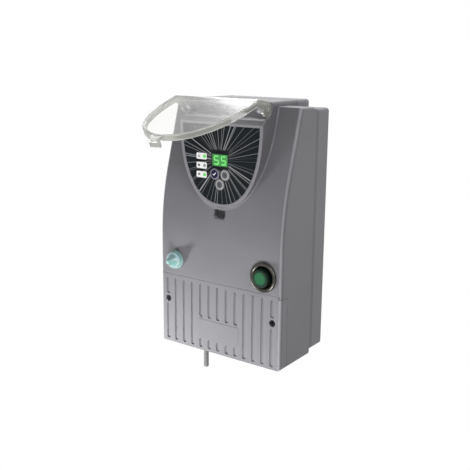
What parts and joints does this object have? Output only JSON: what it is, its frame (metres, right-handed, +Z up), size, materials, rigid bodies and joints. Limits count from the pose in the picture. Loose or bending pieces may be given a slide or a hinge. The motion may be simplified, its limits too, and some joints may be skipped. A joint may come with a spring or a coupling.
{
  "type": "automatic coop door opener",
  "caption": "Wall-mounted battery opener for a hen-house door: leaning grey case, clear hinged lid over a U-shaped control panel, light sensor, push button and lifting cord.",
  "frame": {"origin": "middle of the back face that lies on the wall", "axes": "+Z up, +X to the right seen from the front, the front faces -Y"},
  "size_m": [0.138, 0.1649, 0.2759],
  "materials": {
    "case_plastic": "fine matt moulded grey",
    "cover_plastic": "fine matt moulded light grey",
    "seal_rubber": "matt",
    "screw_steel": "zinc plated",
    "dark_steel": "blackened",
    "label_film": "satin printed film",
    "clear_plastic": "clear polished plastic",
    "dark_plastic": "satin",
    "green_light": "diffused, lit",
    "navy_key": "satin with a white tick",
    "grey_key": "satin with a grey ring",
    "board": "solder resist",
    "dark_metal": "black nickel plated",
    "green_cap": "satin translucent green",
    "teal_lens": "translucent, polished",
    "photocell": "epoxy coated",
    "brass_bush": "turned",
    "white_nylon": "natural nylon",
    "cord": "braided polyester",
    "cell": "printed jacket",
    "wire": "insulated lead"
  },
  "bodies": {
    "case": {"rear_shell": "case_plastic", "front_shell": "case_plastic", "case_seal": "seal_rubber", "case_screws": "screw_steel", "battery_cover": "cover_plastic", "cover_seal": "seal_rubber", "cover_screws": "dark_steel", "keypad_label": "label_film", "hinge_pins": "screw_steel", "display_module": "dark_plastic", "status_lights": "green_light", "key_switches": "dark_plastic", "control_board": "board", "board_screws": "screw_steel", "board_components": "dark_plastic", "button_bezel": "dark_metal", "button_nut": "dark_plastic", "button_spring": "screw_steel", "button_switch": "dark_plastic", "sensor_housing": "cover_plastic", "sensor_lens": "teal_lens", "sensor_nut": "dark_plastic", "photocell": "photocell", "drive_plate": "screw_steel", "plate_screws": "screw_steel", "gear_motor": "screw_steel", "motor_screws": "screw_steel", "idler_shaft": "screw_steel", "drum_bush_front": "brass_bush", "drum_bush_rear": "brass_bush", "battery_holder": "dark_plastic", "batteries": "cell", "battery_contacts": "screw_steel", "wiring": "wire", "cord_guide": "cover_plastic", "cord_run": "cord", "cord_tail": "cord"},
    "lid": {"clear_lid": "clear_plastic"},
    "button": {"button_cap": "green_cap"},
    "confirm_key": {"key_confirm": "navy_key"},
    "forward_key": {"key_forward": "grey_key"},
    "back_key": {"key_back": "grey_key"},
    "motor_rotor": {"motor_pinion": "brass_bush"},
    "idler": {"idler_gear": "white_nylon"},
    "drum": {"drum_shaft": "screw_steel", "drum_gear": "white_nylon", "cord_drum": "white_nylon", "cord_winding": "cord", "shaft_clips": "screw_steel"}
  },
  "joints": [
    {"name": "lid_hinge", "type": "hinge", "parent": "case", "child": "lid", "pos_m": [0, -0.069, 0.1145], "axis": [1, 0, 0], "range_deg": [0, 71]},
    {"name": "button_press", "type": "slide", "parent": "case", "child": "button", "axis": [0, 1, 0], "range_m": [0, 0.003], "stiffness_N_per_m": 800, "springref_m": -0.001, "deforming": ["button_spring"]},
    {"name": "confirm_press", "type": "slide", "parent": "case", "child": "confirm_key", "axis": [0, 1, 0], "range_m": [0, 0.0006], "stiffness_N_per_m": 2500},
    {"name": "forward_press", "type": "slide", "parent": "case", "child": "forward_key", "axis": [0, 1, 0], "range_m": [0, 0.0006], "stiffness_N_per_m": 2500},
    {"name": "back_press", "type": "slide", "parent": "case", "child": "back_key", "axis": [0, 1, 0], "range_m": [0, 0.0006], "stiffness_N_per_m": 2500},
    {"name": "drum_spin", "type": "hinge", "parent": "case", "child": "drum", "pos_m": [-0.0265, -0.04, 0.002], "axis": [0, 1, 0], "continuous": true},
    {"name": "idler_spin", "type": "hinge", "parent": "case", "child": "idler", "pos_m": [-0.00168, -0.02, 0.01101], "axis": [0, 1, 0], "continuous": true},
    {"name": "motor_spin", "type": "hinge", "parent": "case", "child": "motor_rotor", "pos_m": [0.02094, -0.024, 0.003], "axis": [0, 1, 0], "continuous": true}
  ],
  "couplings": [
    {"joint": "idler_spin", "follows": "drum_spin", "ratio": -4.5},
    {"joint": "motor_spin", "follows": "drum_spin", "ratio": 18}
  ]
}
